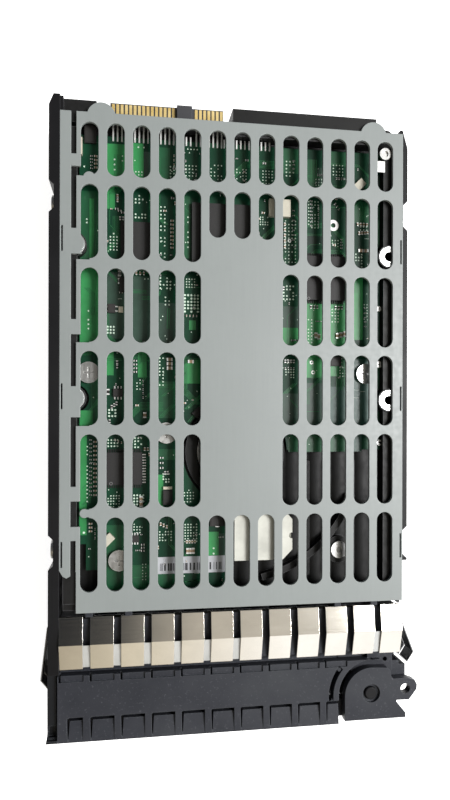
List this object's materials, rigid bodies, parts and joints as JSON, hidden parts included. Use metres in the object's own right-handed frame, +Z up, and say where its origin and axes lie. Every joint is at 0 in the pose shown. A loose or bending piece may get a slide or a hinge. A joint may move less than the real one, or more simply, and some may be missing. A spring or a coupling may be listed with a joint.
{
  "type": "hard disk drive",
  "caption": "3.5-inch hard disk drive in a hot-plug carrier with slotted plate, shielding springs, front bezel, ejector lever and release button.",
  "frame": {"origin": "on the rest plane, midway across the drive's width and midway along its 147 mm", "axes": "+Z up out of the slotted plate, +Y towards the rear connector, -Y the front bezel"},
  "size_m": [0.114, 0.1861, 0.0282],
  "materials": {
    "plate_steel": "satin grey-green coated steel",
    "carrier_plastic": "black moulded plastic",
    "bezel_plastic": "charcoal moulded plastic, fine texture",
    "button_plastic": "burgundy moulded plastic",
    "light_pipe": "clear polycarbonate",
    "spring_steel": "bright stainless spring strip",
    "screw_steel": "zinc plated steel",
    "casting": "die-cast aluminium, black coated, machined faces bright",
    "cover_steel": "satin stainless steel",
    "gasket_rubber": "moulded elastomer",
    "label_paper": null,
    "board": "green solder mask over glass-fibre laminate",
    "chip_epoxy": "moulded epoxy",
    "sensor_ceramic": "cream ceramic",
    "pad_foam": "cream pad",
    "connector_plastic": "dark liquid-crystal polymer",
    "contact_gold": "gold plated contacts",
    "platter": "mirror-polished disk",
    "machined_aluminium": "machined",
    "magnet": "nickel plated magnet",
    "copper": "enamelled copper winding",
    "flex": "amber polyimide",
    "filter_cloth": "white filter cloth"
  },
  "bodies": {
    "carrier": {"slotted_plate": "plate_steel", "left_rail": "carrier_plastic", "right_rail": "carrier_plastic", "side_screws": "screw_steel", "light_pipes": "light_pipe", "bezel": "bezel_plastic", "front_grille": "carrier_plastic", "emi_gasket_upper": "spring_steel", "emi_gasket_lower": "spring_steel", "emi_gasket_sides": "spring_steel", "pivot_pin": "carrier_plastic", "lever_spring": "screw_steel", "button_spring": "screw_steel", "base_casting": "casting", "top_cover": "cover_steel", "cover_gasket": "gasket_rubber", "cover_screws": "screw_steel", "drive_label": "label_paper", "circuit_board": "board", "board_insulator": "gasket_rubber", "board_screws": "screw_steel", "controller_chip": "chip_epoxy", "buffer_memory_chip": "chip_epoxy", "flash_memory_chip": "chip_epoxy", "motor_driver_chip": "chip_epoxy", "shock_sensors": "sensor_ceramic", "foam_pad": "pad_foam", "sas_connector": "connector_plastic", "connector_contacts": "contact_gold", "spindle_shaft": "screw_steel", "stator_core": "screw_steel", "stator_coils": "copper", "pivot_shaft": "screw_steel", "parking_ramp": "pad_foam", "magnet_yokes": "cover_steel", "voice_coil_magnets": "magnet", "crash_stops": "gasket_rubber", "flex_connector": "connector_plastic", "actuator_flex": "flex", "air_filter": "filter_cloth", "breather_filter": "filter_cloth"},
    "spindle": {"bearing_sleeve": "contact_gold", "spindle_hub": "machined_aluminium", "rotor_magnet": "magnet", "platters": "platter", "platter_spacers": "machined_aluminium", "platter_clamp": "cover_steel", "clamp_screws": "screw_steel"},
    "actuator": {"pivot_bearing": "screw_steel", "actuator_arm": "machined_aluminium", "voice_coil": "copper", "suspensions": "cover_steel", "head_sliders": "chip_epoxy"},
    "lever": {"ejector_lever": "bezel_plastic"},
    "button": {"release_button": "button_plastic"}
  },
  "joints": [
    {"name": "lever_swing", "type": "hinge", "parent": "carrier", "child": "lever", "pos_m": [0.0419, -0.1023, 0.0137], "axis": [0, 0, 1], "range_deg": [0, 40]},
    {"name": "button_press", "type": "slide", "parent": "carrier", "child": "button", "axis": [0, 1, 0], "range_m": [0, 0.002], "stiffness_N_per_m": 300, "springref_m": -0.001, "deforming": ["button_spring"]},
    {"name": "spindle_spin", "type": "hinge", "parent": "carrier", "child": "spindle", "pos_m": [0, -0.028, 0.01], "axis": [0, 0, 1], "continuous": true},
    {"name": "actuator_swing", "type": "hinge", "parent": "carrier", "child": "actuator", "pos_m": [0.008, 0.029, 0.01], "axis": [0, 0, 1], "range_deg": [0, 28]}
  ]
}
